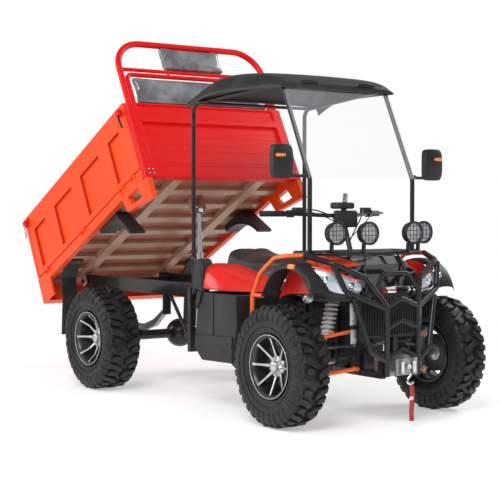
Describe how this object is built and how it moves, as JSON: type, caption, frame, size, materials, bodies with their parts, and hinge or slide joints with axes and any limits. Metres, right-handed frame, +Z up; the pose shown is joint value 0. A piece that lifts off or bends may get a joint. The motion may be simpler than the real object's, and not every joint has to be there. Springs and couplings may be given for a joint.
{
  "type": "utility quad bike with tipping bed",
  "caption": "Farm quad bike with a canopy, a winch, a steered front axle and a cargo bed with drop sides that a telescopic ram tips back.",
  "frame": {"origin": "on the ground under the middle of the bounding box", "axes": "+X forward, +Y to the rider's left, +Z up"},
  "size_m": [3.3744, 1.431, 2.1857],
  "materials": {
    "bed_orange": "gloss",
    "bed_red": "gloss",
    "black_plastic": "matte",
    "chrome": "polished",
    "frame_black": "satin",
    "glass": "clear",
    "guard_orange": "gloss",
    "iron": "matte",
    "lamp": "gloss",
    "lens": "clear",
    "radiator": "satin",
    "ram_red": "gloss",
    "red_plastic": "gloss",
    "rubber": "matte",
    "silver": "satin",
    "steel": "satin",
    "strap_red": "woven",
    "tyre": "matte",
    "vinyl": "satin",
    "white": "gloss"
  },
  "bodies": {
    "chassis": {"main_frame": "frame_black", "rear_chassis": "frame_black", "engine_block": "iron", "front_gearbox": "iron", "front_cowl": "red_plastic", "front_flares": "black_plastic", "headlights": "lens", "seat": "vinyl", "rear_fenders": "black_plastic", "footwells": "black_plastic", "front_bumper": "frame_black", "side_guards": "guard_orange", "front_rack": "frame_black", "radiator": "radiator", "winch": "steel", "winch_hook": "chrome", "winch_strap": "strap_red", "canopy_frame": "frame_black", "roof": "black_plastic", "windscreen": "glass", "mirrors": "black_plastic", "spot_lamps": "lamp", "suspension_arms": "guard_orange", "front_shocks": "white", "half_shafts": "rubber", "rear_axle": "frame_black", "leaf_springs": "steel"},
    "steering": {"handlebar": "frame_black", "bar_controls": "black_plastic"},
    "knuckle_right": {"knuckle_right": "steel"},
    "knuckle_left": {"knuckle_left": "steel"},
    "tie_rod_right": {"tie_rod_right": "steel"},
    "tie_rod_left": {"tie_rod_left": "steel"},
    "wheel_front_right": {"tyre_front_right": "tyre", "rim_front_right": "silver"},
    "wheel_front_left": {"tyre_front_left": "tyre", "rim_front_left": "silver"},
    "wheel_rear_right": {"tyre_rear_right": "tyre", "rim_rear_right": "silver"},
    "wheel_rear_left": {"tyre_rear_left": "tyre", "rim_rear_left": "silver"},
    "bed": {"bed_floor": "bed_red", "bed_skirts": "bed_orange", "headboard": "bed_red", "hoop_rack": "bed_red", "backrest_lower": "vinyl", "backrest_upper": "vinyl", "bed_mudguards": "black_plastic"},
    "drop_side_right": {"drop_side_right": "bed_orange"},
    "drop_side_left": {"drop_side_left": "bed_orange"},
    "tailgate": {"tailgate": "bed_orange"},
    "ram_barrel": {"ram_barrel": "ram_red"},
    "ram_stage_1": {"ram_stage_1": "chrome"},
    "ram_stage_2": {"ram_stage_2": "chrome"}
  },
  "joints": [
    {"name": "bed_tip", "type": "hinge", "parent": "chassis", "child": "bed", "pos_m": [-1.254, 0, 0.63], "axis": [0, 1, 0], "range_deg": [0, 27.66]},
    {"name": "drop_side_right_hinge", "type": "hinge", "parent": "bed", "child": "drop_side_right", "pos_m": [-0.77456, -0.5876, 1.00774], "axis": [0.8857, 0, 0.4642], "range_deg": [0, 110]},
    {"name": "drop_side_left_hinge", "type": "hinge", "parent": "bed", "child": "drop_side_left", "pos_m": [-0.77456, 0.5876, 1.00774], "axis": [-0.8857, 0, -0.4642], "range_deg": [0, 110]},
    {"name": "tailgate_hinge", "type": "hinge", "parent": "bed", "child": "tailgate", "pos_m": [-1.48225, 0, 0.63682], "axis": [0, -1, 0], "range_deg": [0, 120]},
    {"name": "steering", "type": "hinge", "parent": "chassis", "child": "steering", "pos_m": [1.126, 0, 1.06], "axis": [-0.342, 0, 0.9397], "range_deg": [-30, 30]},
    {"name": "kingpin_right", "type": "hinge", "parent": "chassis", "child": "knuckle_right", "pos_m": [1.286, -0.43, 0.3175], "axis": [0, 0, 1], "range_deg": [-30.5, 30.5]},
    {"name": "tie_rod_right_joint", "type": "hinge", "parent": "knuckle_right", "child": "tie_rod_right", "pos_m": [1.186, -0.43, 0.385], "axis": [0, 0, 1], "range_deg": [-30.5, 30.5]},
    {"name": "wheel_front_right_spin", "type": "hinge", "parent": "knuckle_right", "child": "wheel_front_right", "pos_m": [1.286, -0.547, 0.3175], "axis": [0, 1, 0], "continuous": true},
    {"name": "kingpin_left", "type": "hinge", "parent": "chassis", "child": "knuckle_left", "pos_m": [1.286, 0.43, 0.3175], "axis": [0, 0, 1], "range_deg": [-30.5, 30.5]},
    {"name": "tie_rod_left_joint", "type": "hinge", "parent": "knuckle_left", "child": "tie_rod_left", "pos_m": [1.186, 0.43, 0.385], "axis": [0, 0, 1], "range_deg": [-30.5, 30.5]},
    {"name": "wheel_front_left_spin", "type": "hinge", "parent": "knuckle_left", "child": "wheel_front_left", "pos_m": [1.286, 0.547, 0.3175], "axis": [0, 1, 0], "continuous": true},
    {"name": "wheel_rear_right_spin", "type": "hinge", "parent": "chassis", "child": "wheel_rear_right", "pos_m": [-0.528, -0.598, 0.3175], "axis": [0, 1, 0], "continuous": true},
    {"name": "wheel_rear_left_spin", "type": "hinge", "parent": "chassis", "child": "wheel_rear_left", "pos_m": [-0.528, 0.598, 0.3175], "axis": [0, 1, 0], "continuous": true},
    {"name": "ram_foot", "type": "hinge", "parent": "chassis", "child": "ram_barrel", "pos_m": [-0.28, 0, 0.3], "axis": [0, 1, 0], "range_deg": [-0.5, 15.68]},
    {"name": "ram_slide_1", "type": "slide", "parent": "ram_barrel", "child": "ram_stage_1", "axis": [-0.0686, 0, 0.9976], "range_m": [-0.2393, 0.0005]},
    {"name": "ram_slide_2", "type": "slide", "parent": "ram_stage_1", "child": "ram_stage_2", "axis": [-0.0686, 0, 0.9976], "range_m": [-0.2393, 0.0005]}
  ],
  "couplings": [
    {"joint": "kingpin_right", "follows": "steering", "ratio": 1},
    {"joint": "kingpin_left", "follows": "steering", "ratio": 1},
    {"joint": "tie_rod_right_joint", "follows": "steering", "ratio": -1},
    {"joint": "tie_rod_left_joint", "follows": "steering", "ratio": -1},
    {"joint": "ram_foot", "follows": "bed_tip", "ratio": 0.5487},
    {"joint": "ram_slide_1", "follows": "bed_tip", "m_per_rad": -0.49466},
    {"joint": "ram_slide_2", "follows": "bed_tip", "m_per_rad": -0.49466}
  ]
}
